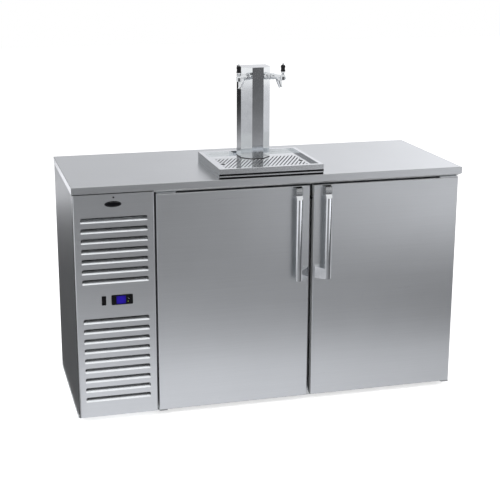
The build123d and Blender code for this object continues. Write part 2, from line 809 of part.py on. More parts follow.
def fan_motor():
    """Motor behind the fan on three arms that reach the shroud's ring."""
    y0 = coil_back + shroud_sheet + shroud_depth + 14.0
    motor = rod_y(bay_middle, fan_z, y0, y0 + motor_length, motor_r)
    motor = fillet(motor.edges().group_by(Axis.Y)[-1], 6.0)
    motor += rod_y(bay_middle, fan_z, fan_y + 1.0, y0, shaft_r)
    ring = fan_r + fan_tip_gap + shroud_sheet
    for i in range(3):
        a = radians(90 + 120 * i)
        arm = Pos((motor_r - 2 + ring) / 2, 0, 0) * Box(ring - motor_r + 6.0, motor_arm, motor_arm)
        post_y0 = coil_back + shroud_depth
        place = Pos(bay_middle, y0 + motor_arm, fan_z) * Rot(0, -90 - 120 * i, 0)
        motor += place * arm
        px, pz = bay_middle + ring * cos(a), fan_z + ring * sin(a)
        motor += rod_y(px, pz, post_y0, y0 + 1.5 * motor_arm, motor_arm / 2)
    return motor


def compressor():
    """Hermetic can: domed halves with a weld flange, on four feet and a mounting plate."""
    r, h = compressor_r, compressor_height
    z0 = unit_floor + compressor_foot
    dome = r * 0.35
    can = turned([(0, z0), (r * 0.55, z0), (r - 6.0, z0 + dome * 0.7), (r - 4.0, z0 + h * 0.52),
                  (r, z0 + h * 0.53), (r, z0 + h * 0.56), (r - 4.0, z0 + h * 0.57),
                  (r - 8.0, z0 + h - dome), (r * 0.5, z0 + h - 6.0), (0, z0 + h)])
    can = Pos(bay_middle, compressor_y, 0) * can
    can += block(bay_middle - r, bay_middle + r, compressor_y - r, compressor_y + r, z0, z0 + 4.0)
    for sx in (-1, 1):
        for sy in (-1, 1):
            x, y = bay_middle + sx * (r - 12.0), compressor_y + sy * (r - 12.0)
            can += rod_z(x, y, unit_floor, z0, 9.0)
    terminal = block(bay_middle - 24.0, bay_middle + 24.0, compressor_y - r - 18.0,
                     compressor_y - r + 12.0, z0 + h * 0.28, z0 + h * 0.28 + 54.0)
    return can + terminal


def evaporator_housing():
    """Cover of the cooling coil on the divider, with the fan's opening and motor bridge."""
    x0 = cavity_left + liner_gauge
    x1 = x0 + evaporator_depth
    y0, y1 = evaporator_y - evaporator_length / 2, evaporator_y + evaporator_length / 2
    z1 = cavity_top - liner_gauge - evaporator_drop
    z0 = z1 - evaporator_height
    s = evaporator_sheet
    box = block(x0, x1, y0, y1, z0, z1)
    box = fillet(box.edges().group_by(Axis.X)[-1], 10.0)
    hollow = block(x0 - 1, x1 - s, y0 + s, y1 - s, z0 + s, z1 - s)
    box -= fillet(hollow.edges().group_by(Axis.X)[-1], 10.0 - s)
    zc = (z0 + z1) / 2
    box -= rod_x(evaporator_y, zc, x1 - s - 1, x1 + 1, evaporator_fan_r + fan_tip_gap)
    for i in range(5):
        z = z0 + 24.0 + i * 14.0
        for y in (y0 + 24.0, y1 - 24.0):
            box -= block(x1 - s - 1, x1 + 1, y - 14.0, y + 14.0, z, z + 6.0)
    b = x0 + evaporator_bridge
    bridge = block(x0, b, y0 + s, y1 - s, zc - 20.0, zc + 20.0)
    bridge += rod_x(evaporator_y, zc, b, b + evaporator_motor_length, evaporator_motor_r)
    bridge += rod_x(evaporator_y, zc, b + evaporator_motor_length, x0 + evaporator_fan_out - 1.0,
                    shaft_r)
    return box + bridge


def evaporator_fan():
    x0 = cavity_left + liner_gauge
    zc = cavity_top - liner_gauge - evaporator_drop - evaporator_height / 2
    rotor = fan_rotor(evaporator_fan_r, 20.0, 20.0, shaft_r + shaft_fit)
    return Pos(x0 + evaporator_fan_out, evaporator_y, zc) * Rot(0, 90, 0) * rotor


def cord_gland():
    """Grommet in the rear skin that the supply cord leaves through."""
    gland = rod_y(bay_middle, gland_height, body_back, body_back + 2.0, gland_r + 4.0)
    gland += rod_y(bay_middle, gland_height, body_back - skin - 3.0, body_back, gland_r - 0.3)
    return gland - rod_y(bay_middle, gland_height, body_back - 9, body_back + 9, 4.5)


# ------------------------------------------------------------------ drip tray
def drain_place():
    """X and Y of the tray's drain."""
    return tray_x + drain_x, tray_inside + drain_y


def tray_seal():
    """Rubber strip that the tray stands on."""
    i, w = tray_skirt + seat_gap, tray_seal_width
    y0 = tray_front + tray_seal_inset
    ring = block(tray_left + i, tray_right - i, y0, tray_back - i,
                 worktop_height, worktop_height + tray_seal_height)
    return ring - block(tray_left + i + w, tray_right - i - w, y0 + w,
                        tray_back - i - w, worktop_height - 1, tray_top)


def drip_tray():
    """Pan with a boxed rim, a shadow groove round its foot, a ledge and a drain tail."""
    z0 = worktop_height + tray_seal_height
    pan = block(tray_left, tray_right, tray_front, tray_back, z0, tray_top)
    pan = fillet(pan.edges().group_by(Axis.Z)[-1], 1.5)
    skirt = block(tray_left, tray_right, tray_front + tray_groove_depth, tray_back,
                  worktop_height, z0)
    skirt -= block(tray_left + tray_skirt, tray_right - tray_skirt, tray_front - 1,
                   tray_back - tray_skirt, worktop_height - 1, z0 + 1)
    pan += skirt
    groove_z = z0 + tray_foot_edge
    pan -= block(tray_left - 1, tray_right + 1, tray_front - 1, tray_front + tray_groove_depth,
                 groove_z, groove_z + tray_groove_height)
    seam = block(tray_left - 1, tray_right + 1, tray_front - 1, tray_back + 1,
                 groove_z + tray_groove_height - tray_seam, groove_z + tray_groove_height)
    seam -= block(tray_left + tray_seam, tray_right - tray_seam, tray_front, tray_back - tray_seam,
                  groove_z, groove_z + tray_groove_height + 1)
    pan -= seam
    r, low = tray_rim, tray_rim + tray_ledge
    pan -= block(tray_left + r, tray_right - r, tray_front + r, tray_back - r,
                 ledge_top, tray_top + 1)
    pan -= block(tray_left + low, tray_right - low, tray_front + low, tray_back - low,
                 z0 + tray_floor, tray_top)
    pan += rod_z(tower_x, tower_y, z0, ledge_top, line_hole_r + tray_collar)
    pan -= rod_z(tower_x, tower_y, z0 - 1, ledge_top + 1, line_hole_r)
    x, y = drain_place()
    pan += rod_z(x, y, z0 - drain_tail, z0 + tray_floor, drain_r)
    return pan - rod_z(x, y, z0 - drain_tail - 1, z0 + tray_floor + 1, drain_r - drain_wall)


def tower_outline(grow=0.0):
    """Plan of the column: a rectangle whose two front corners are cut at 45 degrees."""
    w = tower_width / 2 + grow
    y0, y1 = tower_front - grow, tower_front + tower_depth + grow
    c = tower_chamfer + grow * (2 - 2 ** 0.5)
    return [(tower_x - w + c, y0), (tower_x + w - c, y0), (tower_x + w, y0 + c),
            (tower_x + w, y1), (tower_x - w, y1), (tower_x - w, y0 + c)]


def tower_deck():
    """Fixed plate behind the grate that the tower stands on."""
    fit = 0.6
    deck = block(tray_left + tray_rim + fit, tray_right - tray_rim - fit, grate_end + fit,
                 tray_back - tray_rim - fit, ledge_top, plate_top)
    toe = block(tower_x - tower_width / 2, tower_x + tower_width / 2, tower_front,
                grate_end + fit, ledge_top, plate_top)
    deck += toe & plan(tower_outline(), ledge_top, plate_top)
    return deck - rod_z(tower_x, tower_y, ledge_top - 1, plate_top + 1, line_hole_r)


def drip_grate():
    """Lift-out plate with slanting slots, two finger holes and a notch round the tower."""
    fit = 0.6
    x0, x1 = tray_left + tray_rim + fit, tray_right - tray_rim - fit
    y0, y1 = tray_inside + fit, grate_end
    z0 = plate_top - plate_thickness
    plate = block(x0, x1, y0, y1, z0, plate_top) - plan(tower_outline(1.5), z0 - 1, plate_top + 1)
    zone = block(x0 + slot_margin, x1 - slot_margin, y0 + slot_margin, y1 - slot_back_margin,
                 z0 - 1, plate_top + 1)
    zone -= plan(tower_outline(10.0), z0 - 2, plate_top + 2)
    zone -= block(tower_x - tower_width / 2, tower_x + tower_width / 2, tower_front, y1 + 1,
                  z0 - 2, plate_top + 2)
    for side in (-1, 1):
        zone -= rod_z(tray_x + side * finger_hole_x, tray_inside + finger_hole_y,
                      z0 - 2, plate_top + 2, finger_hole_r + 6.0)
    length = 2 * (y1 - y0)
    slots = Part()
    count = int((x1 - x0 + length * tan(radians(slot_lean))) / slot_pitch)
    for i in range(count):
        x = tray_x + (i - (count - 1) / 2) * slot_pitch
        slot = Pos(x, (y0 + y1) / 2, z0) * Rot(0, 0, -slot_lean) * Box(
            slot_width * cos(radians(slot_lean)), length, 4 * plate_thickness)
        slots += slot & zone
    plate -= slots
    for side in (-1, 1):
        plate -= rod_z(tray_x + side * finger_hole_x, tray_inside + finger_hole_y,
                       z0 - 1, plate_top + 1, finger_hole_r)
    return plate


# ------------------------------------------------------------------ tower and faucets
def faucet_place(side):
    """Location of a faucet: its local -Y points out of the slanted face (-1 left, +1 right)."""
    half = tower_width / 2 - tower_chamfer / 2
    slide = faucet_shift / 2 ** 0.5
    x = tower_x + side * (half - slide)
    y = tower_front + tower_chamfer / 2 - slide
    return Pos(x, y, worktop_height + faucet_height) * Rot(0, 0, side * 45)


def tower_column():
    """Folded column, open at the foot, with a hole for each shank."""
    tube = plan(tower_outline(), tower_foot, tower_top - tower_sheet)
    tube -= plan(tower_outline(-tower_sheet), tower_foot - 1, tower_top)
    for side in (-1, 1):
        tube -= faucet_place(side) * rod_y(0, 0, -5, 10, shank_r + 0.3)
    return tube


def tower_cap():
    """Lid with a skirt that plugs into the column."""
    cap = plan(tower_outline(), tower_top - tower_sheet, tower_top)
    skirt = plan(tower_outline(-tower_sheet - seat_gap), tower_top - tower_cap_depth,
                 tower_top - tower_sheet)
    skirt -= plan(tower_outline(-2 * tower_sheet), tower_top - tower_cap_depth - 1,
                  tower_top - tower_sheet)
    return cap + skirt


def tower_gasket():
    """Thin foot seal between the column and the deck."""
    seal = plan(tower_outline(gasket_edge), plate_top, tower_foot)
    return seal - plan(tower_outline(-8.0), plate_top - 1, tower_foot + 1)


def outward(points):
    """Turned solid whose height runs along local -Y."""
    return Rot(90, 0, 0) * turned(points)


def faucet_shank(side):
    """Threaded shank through the wall with its outer flange and inner nut."""
    tube = outward([(shank_bore_r, -shank_tail), (shank_r, -shank_tail), (shank_r, 0),
                    (shank_flange_r - 1, 0), (shank_flange_r, 1), (shank_flange_r - 0.5, 6.0),
                    (shank_flange_r - 2.5, shank_flange), (9.5, shank_flange), (9.5, nut_start),
                    (shank_bore_r, nut_start)])
    inner = outward([(shank_r, -10.0), (12.0, -10.0), (12.0, -tower_sheet), (shank_r, -tower_sheet)])
    return faucet_place(side) * (tube + inner)


def coupling_nut(side):
    """Lobed ring that clamps the faucet to its shank."""
    ring = outward([(shank_bore_r + 2.0, nut_start), (nut_r, nut_start),
                    (nut_r, nut_start + nut_length - 2.0),
                    (nut_r - 2.0, nut_start + nut_length), (shank_bore_r + 2.0,
                                                            nut_start + nut_length)])
    for i in range(nut_lobes):
        a = 2 * pi * (i + 0.5) / nut_lobes
        ring -= rod_y((nut_r + 1.2) * cos(a), (nut_r + 1.2) * sin(a),
                      -nut_start - nut_length - 1, -nut_start + 1, 2.6)
    return faucet_place(side) * ring


def faucet_body(side):
    """Cast body: collar, tapering neck, upright valve chamber and leaning spout."""
    start = nut_start + nut_length
    r = body_collar_r
    neck = outward([(0, start), (9.0, start), (9.0, start + 3.0), (r - 1.5, start + 3.0),
                    (r, start + 4.5), (r, start + 9.0), (r - 1.6, start + 13.0),
                    (body_neck_r + 0.8, start + 17.0), (body_neck_r, start + 26.0),
                    (body_neck_r, faucet_reach), (0, faucet_reach)])
    cup = ball_r + ball_fit
    chamber = turned([(0, -valve_drop), (valve_r - 2, -valve_drop), (valve_r, -valve_drop + 2),
                      (valve_r, valve_rise - 2.5), (cup + 1.3, pivot_rise - 1.5), (0, pivot_rise - 1.5)])
    spout = turned([(0, -spout_drop + 8.0), (spout_r - 1.8, -spout_drop + 8.0),
                    (spout_r - 1.8, -spout_drop), (spout_r, -spout_drop), (spout_r, -spout_drop + 3),
                    (spout_r - 0.4, -spout_drop + 5), (spout_r + 1.6, -valve_drop - 12),
                    (valve_r, -valve_drop - 3), (valve_r + 0.5, -valve_drop + 5),
                    (valve_r - 3.0, -valve_drop + 12), (0, -valve_drop + 12)])
    spout = Pos(0, spout_back, 0) * Rot(-spout_lean, 0, 0) * spout
    vent = Pos(0, -valve_r, -4) * Rot(90, 0, 0) * Cylinder(3.2, 5.0)
    body = neck + Pos(0, -faucet_reach, 0) * (chamber + spout + vent)
    body -= Pos(0, -faucet_reach, pivot_rise) * Sphere(cup)
    return faucet_place(side) * body


def faucet_lever(side):
    """Ball, collar and rod that runs through the knob to the finial."""
    top = knob_start + knob_length - pivot_rise
    rod = turned([(0, -2.0), (lever_rod_r, -2.0), (lever_rod_r, 5.0), (6.8, 5.0), (7.4, 6.5),
                  (7.0, knob_start - pivot_rise), (lever_rod_r, knob_start - pivot_rise),
                  (lever_rod_r, top), (finial_r - 0.8, top), (finial_r, top + 2.0),
                  (finial_r - 1.2, top + finial_length - 1.0), (1.0, top + finial_length),
                  (0, top + finial_length)])
    lever = Sphere(ball_r) + rod
    return faucet_place(side) * Pos(0, -faucet_reach, pivot_rise) * lever


def tap_knob(side):
    """Waisted plastic knob, bored for the lever's rod."""
    z0, n, r = knob_start, knob_length, knob_r
    knob = turned([(lever_rod_r, z0), (r - 0.6, z0), (r, z0 + 1.5), (r - 0.4, z0 + 4.5),
                   (r - 1.6, z0 + 8.0), (r - 1.8, z0 + 13.0), (r - 0.6, z0 + 16.0),
                   (r - 0.5, z0 + n - 4.0), (r - 3.0, z0 + n), (lever_rod_r, z0 + n)])
    return faucet_place(side) * Pos(0, -faucet_reach, 0) * knob


def beer_lines():
    """Two tubes from the shanks down through the worktop into the cold space."""
    lines = Part()
    for side in (-1, 1):
        start = (faucet_place(side) * Pos(0, shank_tail, 0)).position
        step = 16.0 / 2 ** 0.5
        corner = (start.X - side * step, start.Y + step, start.Z)
        foot = (corner[0], corner[1], cavity_top - line_tail)
        path = FilletPolyline((start.X, start.Y, start.Z), corner, foot, radius=line_bend)
        ring = Plane(origin=path @ 0, z_dir=path % 0) * Circle(line_r)
        lines += sweep(ring, path=path)
    return lines


# ------------------------------------------------------------------ assembly
def build_nodes():
    """Every node by name."""
    nodes = {
        "base_frame": base_frame(),
        "left_side_panel": left_side_panel(),
        "right_side_panel": right_side_panel(),
        "rear_panel": rear_panel(),
        "insulated_floor": insulated_floor(),
        "insulated_ceiling": insulated_ceiling(),
        "insulated_back": insulated_back(),
        "insulated_right_wall": insulated_right_wall(),
        "insulated_divider": insulated_divider(),
        "inner_liner": inner_liner(),
        "door_frame": door_frame(),
        "centre_mullion": centre_mullion(),
        "worktop": worktop(),
        "upper_hinges": upper_hinges(),
        "lower_hinges": lower_hinges(),
        "grille_panel": grille_panel(),
        "oval_badge": oval_badge(),
        "grille_screw": grille_screw(),
        "switch_bezel": switch_bezel(),
        "power_rocker": power_rocker(),
        "controller_bezel": controller_bezel(),
        "display_window": display_window(),
        "unit_tray": unit_tray(),
        "condenser_coil": condenser_coil(),
        "fan_shroud": fan_shroud(),
        "condenser_fan": condenser_fan(),
        "fan_motor": fan_motor(),
        "compressor": compressor(),
        "evaporator_housing": evaporator_housing(),
        "evaporator_fan": evaporator_fan(),
        "cord_gland": cord_gland(),
        "tray_seal": tray_seal(),
        "drip_tray": drip_tray(),
        "tower_deck": tower_deck(),
        "drip_grate": drip_grate(),
        "tower_column": tower_column(),
        "tower_cap": tower_cap(),
        "tower_gasket": tower_gasket(),
        "beer_lines": beer_lines(),
    }
    nodes.update(controller_buttons())
    for side, word in ((-1, "left"), (1, "right")):
        nodes[word + "_door_panel"] = door_panel(side)
        nodes[word + "_door_liner"] = door_liner(side)
        nodes[word + "_door_gasket"] = door_gasket(side)
        nodes[word + "_door_handle"] = door_handle(side)
        nodes[word + "_shank"] = faucet_shank(side)
        nodes[word + "_coupling_nut"] = coupling_nut(side)
        nodes[word + "_faucet_body"] = faucet_body(side)
        nodes[word + "_faucet_lever"] = faucet_lever(side)
        nodes[word + "_tap_knob"] = tap_knob(side)
    return nodes


def main():
    os.makedirs("parts", exist_ok=True)
    for name, shape in build_nodes().items():
        export_step(shape, os.path.join("parts", name + ".step"))


main()
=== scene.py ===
"""Looks of the two-door direct-draw beer cooler: finishes, small fittings, studio and camera."""
from math import cos, pi, radians, sin

import bmesh
import bpy
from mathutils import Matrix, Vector


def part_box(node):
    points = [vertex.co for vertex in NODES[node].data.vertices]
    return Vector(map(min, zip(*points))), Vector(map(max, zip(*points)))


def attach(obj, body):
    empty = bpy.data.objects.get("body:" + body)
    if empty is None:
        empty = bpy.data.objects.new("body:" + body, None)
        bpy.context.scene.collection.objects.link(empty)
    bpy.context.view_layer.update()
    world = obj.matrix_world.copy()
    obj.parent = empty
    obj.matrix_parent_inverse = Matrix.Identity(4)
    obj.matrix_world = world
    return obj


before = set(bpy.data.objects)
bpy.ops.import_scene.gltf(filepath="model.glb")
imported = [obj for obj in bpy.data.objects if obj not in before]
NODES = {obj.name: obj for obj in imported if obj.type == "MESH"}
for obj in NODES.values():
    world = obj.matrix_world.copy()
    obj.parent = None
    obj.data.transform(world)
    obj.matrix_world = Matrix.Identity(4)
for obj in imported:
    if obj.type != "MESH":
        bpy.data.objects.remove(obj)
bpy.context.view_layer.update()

MM = 0.001
SIDES = ("left", "right")


# ------------------------------------------------------------------ material helpers
class Shader:
    """A principled material whose nodes are added by short calls."""

    def __init__(self, name, color, metallic, roughness):
        self.material = bpy.data.materials.new(name)
        self.material.use_nodes = True
        self.tree = self.material.node_tree
        self.bsdf = self.tree.nodes["Principled BSDF"]
        self.set("Base Color", (*color, 1.0))
        self.set("Metallic", metallic)
        self.set("Roughness", roughness)
        self.place = self.add("ShaderNodeTexCoord").outputs["Object"]

    def set(self, socket, value):
        self.bsdf.inputs[socket].default_value = value

    def add(self, kind, **inputs):
        node = self.tree.nodes.new(kind)
        for key, value in inputs.items():
            self.feed(value, node.inputs[key.replace("_", " ")])
        return node

    def feed(self, value, socket):
        if isinstance(value, bpy.types.NodeSocket):
            self.tree.links.new(value, socket)
        else:
            socket.default_value = value

    def join(self, output, socket):
        self.tree.links.new(output, self.bsdf.inputs[socket])

    def stretched(self, x, y, z):
        """Object coordinates scaled along each axis, in metres."""
        mapping = self.add("ShaderNodeMapping", Vector=self.place)
        mapping.inputs["Scale"].default_value = (x, y, z)
        return mapping.outputs["Vector"]

    def noise(self, vector, scale, detail=2.0):
        node = self.add("ShaderNodeTexNoise", Vector=vector, Scale=scale, Detail=detail)
        return node.outputs["Fac"]

    def ramp(self, factor, stops):
        node = self.add("ShaderNodeValToRGB", Fac=factor)
        elements = node.color_ramp.elements
        while len(elements) < len(stops):
            elements.new(0.5)
        for element, (place, color) in zip(elements, stops):
            element.position = place
            element.color = (*color, 1.0)
        return node.outputs["Color"]

    def remap(self, factor, low, high):
        node = self.add("ShaderNodeMapRange", Value=factor)
        node.inputs["To Min"].default_value = low
        node.inputs["To Max"].default_value = high
        return node.outputs["Result"]

    def mix(self, factor, a, b):
        node = self.tree.nodes.new("ShaderNodeMix")
        node.data_type = "RGBA"
        self.feed(factor, node.inputs[0])
        for value, socket in ((a, node.inputs[6]), (b, node.inputs[7])):
            self.feed(value if isinstance(value, bpy.types.NodeSocket) else (*value, 1.0), socket)
        return node.outputs[2]

    def bump(self, height, strength, distance):
        node = self.add("ShaderNodeBump", Height=height)
        node.inputs["Strength"].default_value = strength
        node.inputs["Distance"].default_value = distance
        self.join(node.outputs["Normal"], "Normal")


def grey(value):
    """A steel grey, slightly cool."""
    return (value * 0.972, value, value * 1.025)


def brushed(name, value, roughness, grain):
    """Brushed sheet: fine grain lines along one axis, soft clouding and a little sheen spread."""
    m = Shader(name, grey(value), 1.0, roughness)
    fine, along = 900.0, 3.0     # noise scale across the grain lines and along them
    scales = {"x": (along, fine, fine), "y": (fine, along, fine), "z": (fine, fine, along)}
    lines = m.noise(m.stretched(*scales[grain]), 1.0, 3.0)
    clouds = m.noise(m.stretched(1.0, 1.0, 1.0), 5.0, 3.0)
    tone = m.mix(0.5, m.ramp(lines, [(0.3, grey(value * 0.93)), (0.7, grey(value * 1.05))]),
                 m.ramp(clouds, [(0.3, grey(value * 0.97)), (0.7, grey(value * 1.03))]))
    m.join(tone, "Base Color")
    m.join(m.remap(lines, roughness - 0.05, roughness + 0.06), "Roughness")
    m.bump(lines, 0.25, 0.00004)
    return m.material


def polished(name, value, roughness, smear=0.04, metallic=1.0):
    """Bright metal with faint handling smears."""
    m = Shader(name, grey(value), metallic, roughness)
    smears = m.noise(m.stretched(1.0, 1.0, 1.0), 28.0, 4.0)
    m.join(m.ramp(smears, [(0.35, grey(value * 0.95)), (0.65, grey(value * 1.02))]), "Base Color")
    m.join(m.remap(smears, roughness, roughness + smear), "Roughness")
    return m.material


def moulded(name, color, roughness, texture=0.0003, shine=0.5):
    """Moulded plastic or rubber with a fine spark-eroded texture."""
    m = Shader(name, color, 0.0, roughness)
    cells = m.noise(m.stretched(1.0, 1.0, 1.0), 1400.0, 2.0)
    clouds = m.noise(m.stretched(1.0, 1.0, 1.0), 18.0, 2.0)
    darker = tuple(c * 0.96 for c in color)
    lighter = tuple(min(1.0, c * 1.03) for c in color)
    m.join(m.ramp(clouds, [(0.35, darker), (0.65, lighter)]), "Base Color")
    m.join(m.remap(cells, roughness - 0.05, roughness + 0.07), "Roughness")
    m.set("Specular IOR Level", shine)
    m.bump(cells, 0.3, texture)
    return m.material


def foam_material():
    """Cut rigid foam: fine cells and a yellowed tone."""
    m = Shader("cell_foam", (0.80, 0.70, 0.42), 0.0, 0.95)
    cells = m.add("ShaderNodeTexVoronoi", Vector=m.stretched(1.0, 1.0, 1.0), Scale=420.0)
    m.join(m.ramp(cells.outputs["Distance"], [(0.1, (0.84, 0.75, 0.48)), (0.8, (0.66, 0.55, 0.30))]),
           "Base Color")
    m.bump(cells.outputs["Distance"], 0.6, 0.0006)
    return m.material


def zinc_material():
    """Galvanised sheet: crystal spangle in two close greys."""
    m = Shader("zinc_sheet", grey(0.5), 0.85, 0.42)
    spangle = m.add("ShaderNodeTexVoronoi", Vector=m.stretched(1.0, 1.0, 1.0), Scale=75.0)
    tone = m.ramp(spangle.outputs["Color"], [(0.2, grey(0.42)), (0.8, grey(0.60))])
    m.join(tone, "Base Color")
    m.join(m.remap(spangle.outputs["Distance"], 0.35, 0.52), "Roughness")
    return m.material


def fins_material():
    """Finned aluminium block: close vertical fins drawn by a wave, with painted shade in the dark
    bands between them.
    """
    m = Shader("coil_fins", grey(0.55), 0.9, 0.4)
    wave = m.add("ShaderNodeTexWave", Vector=m.stretched(1.0, 1.0, 1.0), Scale=120.0)
    wave.bands_direction = "X"
    m.join(m.ramp(wave.outputs["Fac"], [(0.25, grey(0.10)), (0.6, grey(0.62))]), "Base Color")
    m.bump(wave.outputs["Fac"], 0.6, 0.0008)
    return m.material


def enamel_material():
    """Sprayed semi-gloss black enamel with orange peel."""
    m = Shader("black_enamel", (0.018, 0.018, 0.02), 0.0, 0.32)
    peel = m.noise(m.stretched(1.0, 1.0, 1.0), 260.0, 2.0)
    m.join(m.remap(peel, 0.26, 0.4), "Roughness")
    m.set("Coat Weight", 0.4)
    m.bump(peel, 0.25, 0.0004)
    return m.material


def display_material():
    """Backlit blue window, brighter in the middle."""
    m = Shader("blue_window", (0.003, 0.002, 0.03), 0.0, 0.12)
    low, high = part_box("display_window")
    middle = (low + high) / 2
    mapping = m.add("ShaderNodeMapping", Vector=m.place)
    mapping.inputs["Location"].default_value = tuple(-middle)
    reach = m.add("ShaderNodeVectorMath", Vector=mapping.outputs["Vector"])
    reach.operation = "MULTIPLY"
    reach.inputs[1].default_value = (34.0, 34.0, 44.0)
    falloff = m.add("ShaderNodeTexGradient", Vector=reach.outputs["Vector"])
    falloff.gradient_type = "SPHERICAL"
    m.join(m.ramp(falloff.outputs["Fac"], [(0.0, (0.006, 0.003, 0.10)), (0.6, (0.02, 0.008, 0.34))]),
           "Emission Color")
    m.set("Emission Strength", 0.78)
    m.set("Specular IOR Level", 0.1)
    return m.material


def lamp_material(name, color):
    """Small lit indicator, brighter at its middle."""
    m = Shader(name, color, 0.0, 0.35)
    cloud = m.noise(m.stretched(1.0, 1.0, 1.0), 900.0, 1.0)
    dim = tuple(c * 0.6 for c in color)
    m.join(m.ramp(cloud, [(0.3, dim), (0.7, color)]), "Emission Color")
    m.set("Emission Strength", 0.8)
    return m.material


def hose_material():
    """Milky beer hose."""
    m = Shader("milky_hose", (0.72, 0.74, 0.70), 0.0, 0.3)
    clouds = m.noise(m.stretched(1.0, 1.0, 1.0), 60.0, 2.0)
    m.join(m.ramp(clouds, [(0.3, (0.66, 0.69, 0.64)), (0.7, (0.78, 0.80, 0.76))]), "Base Color")
    m.set("Subsurface Weight", 0.2)
    return m.material


# ------------------------------------------------------------------ finishes
SHEET = 0.60                     # grey of the outer brushed sheet
FINISH = {
    "door": brushed("door_sheet", SHEET, 0.30, "x"),
    "panel": brushed("panel_sheet", SHEET, 0.30, "x"),
    "side": brushed("side_sheet", SHEET, 0.30, "z"),
    "top": brushed("top_sheet", SHEET, 0.30, "x"),
    "tray": polished("tray_steel", 0.78, 0.08, 0.03),
    "block": polished("shaded_block", 0.40, 0.25, 0.03),
    # painted light: a light matt grey in place of steel, so the tray's floor and the grate's slot
    # walls read lit
    "lit_well": moulded("tray_well_painted_light", grey(0.6), 0.45, 0.00005, 0.5),
    # painted highlight: a bright polished copy of the sheet for the left faces of the worktop and
    # the grille panel
    "skirt": polished("skirt_highlight_steel", 0.95, 0.12, 0.03),
    "tray_skirt": brushed("tray_skirt_sheet", SHEET, 0.24, "x"),
    "hidden": brushed("frame_sheet", 0.5, 0.36, "x"),
    "column": polished("column_steel", 0.74, 0.06),
    "cap": polished("cap_steel", 0.64, 0.08),
    "chrome": polished("chrome_plate", 0.74, 0.06),
    "zinc": zinc_material(),
    "fins": fins_material(),
    "foam": foam_material(),
    "liner": moulded("white_liner", (0.80, 0.81, 0.82), 0.35, 0.0002),
    "rubber": moulded("seal_rubber", (0.03, 0.03, 0.032), 0.6, 0.0003),
    "black": moulded("black_moulding", (0.006, 0.006, 0.007), 0.5, 0.0002, 0.06),
    "badge": moulded("badge_face", (0.004, 0.004, 0.005), 0.35, 0.0001, 0.04),
    "knob": moulded("knob_moulding", (0.008, 0.008, 0.009), 0.3, 0.0001, 0.2),
    "enamel": enamel_material(),
    "window": display_material(),
    # painted highlight: a brighter copy of the sheet for the lit upward faces of the louvre lips and
    # the upper hinges
    "lit_lip": polished("lip_highlight_steel", 0.97, 0.22, 0.02, 0.9),
    # painted light and shade for the worktop's sloped return, a matt grey in place of its steel
    "return": moulded("shaded_return", grey(0.55), 0.55, 0.00005, 0.1),
    "shadow": moulded("deep_shadow", (0.004, 0.004, 0.005), 0.7, 0.0001, 0.05),
    # painted shade: a dark matt grey that stands in for the shade in the door gap and under the
    # doors
    "painted_gap_shade": moulded("painted_gap_shade", grey(0.35), 0.5, 0.00005, 0.1),
    "badge_band": moulded("badge_band_grey", (0.12, 0.12, 0.125), 0.4, 0.00005, 0.2),
    "green_lamp": lamp_material("green_lamp", (0.35, 0.55, 0.06)),
    "white_lamp": lamp_material("white_lamp", (0.8, 0.82, 0.85)),
    "hose": hose_material(),
}

# finish -> the nodes that wear it all over
DRESS = {
    "door": ["left_door_panel", "right_door_panel"],
    "panel": ["grille_panel", "upper_hinges"],
    "side": ["left_side_panel", "right_side_panel"],
    "top": ["worktop"],
    "tray": ["drip_tray", "tower_deck", "drip_grate"],
    "hidden": ["door_frame", "base_frame"],
    # the lower hinges wear the painted gap shade, a dark line at the doors' feet
    "painted_gap_shade": ["lower_hinges"],
    "column": ["tower_column"],
    "cap": ["tower_cap"],
    "chrome": [side + part for side in SIDES
               for part in ("_door_handle", "_shank", "_coupling_nut", "_faucet_body",
                            "_faucet_lever")],
    "zinc": ["rear_panel", "unit_tray", "fan_motor"],
    "fins": ["condenser_coil"],
    "foam": ["insulated_floor", "insulated_ceiling", "insulated_back", "insulated_right_wall",
             "insulated_divider"],
    "liner": ["inner_liner", "evaporator_housing", "evaporator_fan", "left_door_liner",
              "right_door_liner"],
    "rubber": ["left_door_gasket", "right_door_gasket", "tower_gasket", "cord_gland"],
    "shadow": ["tray_seal", "grille_screw"],
    "badge": ["oval_badge"],
    "black": ["centre_mullion", "switch_bezel", "power_rocker", "controller_bezel", "set_button",
              "up_button", "down_button", "condenser_fan", "fan_shroud"],
    "knob": ["left_tap_knob", "right_tap_knob"],
    "enamel": ["compressor"],
    "window": ["display_window"],
    "hose": ["beer_lines"],
}


def dress_nodes():
    """Give every node its finish."""
    for finish, names in DRESS.items():
        for name in names:
            materials = NODES[name].data.materials
            materials.clear()
            materials.append(FINISH[finish])


def repaint(name, finish, test):
    """Second finish on the faces of a node whose middle and normal pass the test."""
    mesh = NODES[name].data
    mesh.materials.append(FINISH[finish])
    for face in mesh.polygons:
        if test(face.center, face.normal):
            face.material_index = len(mesh.materials) - 1


